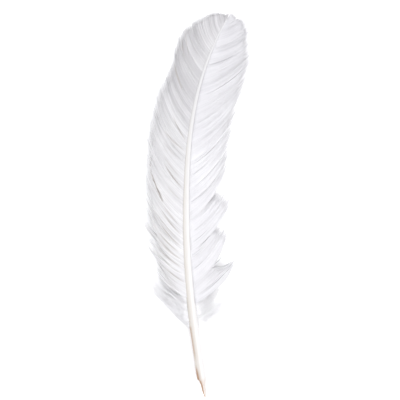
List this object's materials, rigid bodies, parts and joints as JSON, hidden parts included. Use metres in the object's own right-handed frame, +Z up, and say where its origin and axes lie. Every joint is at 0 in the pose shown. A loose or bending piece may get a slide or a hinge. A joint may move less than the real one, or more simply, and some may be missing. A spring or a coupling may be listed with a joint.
{
  "type": "quill pen",
  "caption": "White flight-feather quill pen: hollow horn barrel cut to a split nib, tapering curved shaft, vanes of barbs in separate webs, and down at their base.",
  "frame": {"origin": "on the table that the pen lies on, under the middle of the pen's outline", "axes": "+Z up from the table, +Y along the bare barrel from the nib to the feather, seen from above, +X to the right when the nib is nearest the viewer"},
  "size_m": [0.0841, 0.2464, 0.0149],
  "materials": {
    "horn": "satin",
    "nib_horn": "satin",
    "membrane": "matte",
    "pith": "matte",
    "vane": "satin",
    "down": "matte"
  },
  "bodies": {
    "shaft": {"barrel": "horn", "pulp_caps": "membrane", "shaft_skin": "horn", "shaft_pith": "pith", "left_down_1": "down", "left_down_2": "down", "left_down_3": "down", "right_down_1": "down", "right_down_2": "down"},
    "left_tine": {"left_tine": "nib_horn"},
    "right_tine": {"right_tine": "nib_horn"},
    "left_web_1": {"left_web_1": "vane"},
    "left_web_2": {"left_web_2": "vane"},
    "left_web_3": {"left_web_3": "vane"},
    "left_web_4": {"left_web_4": "vane"},
    "left_web_5": {"left_web_5": "vane"},
    "left_web_6": {"left_web_6": "vane"},
    "left_web_7": {"left_web_7": "vane"},
    "left_web_8": {"left_web_8": "vane"},
    "left_web_9": {"left_web_9": "vane"},
    "left_web_10": {"left_web_10": "vane"},
    "right_web_1": {"right_web_1": "vane"},
    "right_web_2": {"right_web_2": "vane"},
    "right_web_3": {"right_web_3": "vane"},
    "right_web_4": {"right_web_4": "vane"},
    "right_web_5": {"right_web_5": "vane"},
    "right_web_6": {"right_web_6": "vane"},
    "right_web_7": {"right_web_7": "vane"},
    "right_web_8": {"right_web_8": "vane"},
    "right_web_9": {"right_web_9": "vane"}
  },
  "joints": [
    {"name": "left_tine_spread", "type": "hinge", "parent": "shaft", "child": "left_tine", "pos_m": [-0.02114, -0.11555, 0.00461], "axis": [-0.2079, 0.1361, -0.9686], "range_deg": [0, 3], "stiffness_Nm_per_rad": 0.0015},
    {"name": "right_tine_spread", "type": "hinge", "parent": "shaft", "child": "right_tine", "pos_m": [-0.01805, -0.11546, 0.00396], "axis": [0.2079, -0.1361, 0.9686], "range_deg": [0, 3], "stiffness_Nm_per_rad": 0.0015},
    {"name": "left_web_1_flex", "type": "hinge", "parent": "shaft", "child": "left_web_1", "pos_m": [-0.02264, -0.05359, 0.01102], "axis": [0.0574, 0.994, 0.0934], "range_deg": [-4, 15], "stiffness_Nm_per_rad": 0.00064},
    {"name": "left_web_2_flex", "type": "hinge", "parent": "shaft", "child": "left_web_2", "pos_m": [-0.02216, -0.0461, 0.01168], "axis": [0.0714, 0.9942, 0.0809], "range_deg": [-4, 15], "stiffness_Nm_per_rad": 0.00074},
    {"name": "left_web_3_flex", "type": "hinge", "parent": "shaft", "child": "left_web_3", "pos_m": [-0.02152, -0.0381, 0.01228], "axis": [0.0863, 0.994, 0.0677], "range_deg": [-4, 15], "stiffness_Nm_per_rad": 0.00074},
    {"name": "left_web_4_flex", "type": "hinge", "parent": "shaft", "child": "left_web_4", "pos_m": [-0.02077, -0.03011, 0.01277], "axis": [0.1012, 0.9934, 0.0545], "range_deg": [-4, 15], "stiffness_Nm_per_rad": 0.00074},
    {"name": "left_web_5_flex", "type": "hinge", "parent": "shaft", "child": "left_web_5", "pos_m": [-0.01993, -0.02243, 0.01314], "axis": [0.1155, 0.9924, 0.0418], "range_deg": [-4, 15], "stiffness_Nm_per_rad": 0.00068},
    {"name": "left_web_6_flex", "type": "hinge", "parent": "shaft", "child": "left_web_6", "pos_m": [-0.01745, -0.00498, 0.01349], "axis": [0.1479, 0.9889, 0.0133], "range_deg": [-4, 15], "stiffness_Nm_per_rad": 0.0027},
    {"name": "left_web_7_flex", "type": "hinge", "parent": "shaft", "child": "left_web_7", "pos_m": [-0.0122, 0.024, 0.01312], "axis": [0.2052, 0.9781, -0.0354], "range_deg": [-4, 15], "stiffness_Nm_per_rad": 0.003},
    {"name": "left_web_8_flex", "type": "hinge", "parent": "shaft", "child": "left_web_8", "pos_m": [-0.005, 0.05217, 0.01143], "axis": [0.2951, 0.9518, -0.0836], "range_deg": [-4, 15], "stiffness_Nm_per_rad": 0.0026},
    {"name": "left_web_9_flex", "type": "hinge", "parent": "shaft", "child": "left_web_9", "pos_m": [0.00568, 0.07959, 0.00816], "axis": [0.415, 0.9001, -0.1326], "range_deg": [-4, 15], "stiffness_Nm_per_rad": 0.0031},
    {"name": "left_web_10_flex", "type": "hinge", "parent": "shaft", "child": "left_web_10", "pos_m": [0.02017, 0.10573, 0.00342], "axis": [0.5465, 0.8173, -0.1826], "range_deg": [-4, 15], "stiffness_Nm_per_rad": 0.0028},
    {"name": "right_web_1_flex", "type": "hinge", "parent": "shaft", "child": "right_web_1", "pos_m": [-0.01655, -0.05663, 0.01074], "axis": [-0.0255, -0.9947, -0.0991], "range_deg": [-4, 15], "stiffness_Nm_per_rad": 0.001},
    {"name": "right_web_2_flex", "type": "hinge", "parent": "shaft", "child": "right_web_2", "pos_m": [-0.01572, -0.03882, 0.01218], "axis": [-0.0591, -0.9959, -0.069], "range_deg": [-4, 15], "stiffness_Nm_per_rad": 0.002},
    {"name": "right_web_3_flex", "type": "hinge", "parent": "shaft", "child": "right_web_3", "pos_m": [-0.01405, -0.01764, 0.01328], "axis": [-0.0989, -0.9945, -0.0333], "range_deg": [-4, 15], "stiffness_Nm_per_rad": 0.0019},
    {"name": "right_web_4_flex", "type": "hinge", "parent": "shaft", "child": "right_web_4", "pos_m": [-0.01184, 0.00129, 0.01362], "axis": [-0.1345, -0.9909, -0.0019], "range_deg": [-4, 15], "stiffness_Nm_per_rad": 0.0018},
    {"name": "right_web_5_flex", "type": "hinge", "parent": "shaft", "child": "right_web_5", "pos_m": [-0.0093, 0.01812, 0.01343], "axis": [-0.1659, -0.9858, 0.0269], "range_deg": [-4, 15], "stiffness_Nm_per_rad": 0.0015},
    {"name": "right_web_6_flex", "type": "hinge", "parent": "shaft", "child": "right_web_6", "pos_m": [-0.00651, 0.03302, 0.01283], "axis": [-0.2033, -0.9777, 0.0527], "range_deg": [-4, 15], "stiffness_Nm_per_rad": 0.0014},
    {"name": "right_web_7_flex", "type": "hinge", "parent": "shaft", "child": "right_web_7", "pos_m": [-0.00079, 0.05454, 0.01109], "axis": [-0.2832, -0.9548, 0.0907], "range_deg": [-4, 15], "stiffness_Nm_per_rad": 0.0029},
    {"name": "right_web_8_flex", "type": "hinge", "parent": "shaft", "child": "right_web_8", "pos_m": [0.00951, 0.08222, 0.00764], "axis": [-0.408, -0.902, 0.1409], "range_deg": [-4, 15], "stiffness_Nm_per_rad": 0.0029},
    {"name": "right_web_9_flex", "type": "hinge", "parent": "shaft", "child": "right_web_9", "pos_m": [0.02231, 0.10612, 0.00318], "axis": [-0.5306, -0.8268, 0.1868], "range_deg": [-4, 15], "stiffness_Nm_per_rad": 0.0025}
  ],
  "couplings": [
    {"joint": "right_tine_spread", "follows": "left_tine_spread", "ratio": 1}
  ]
}
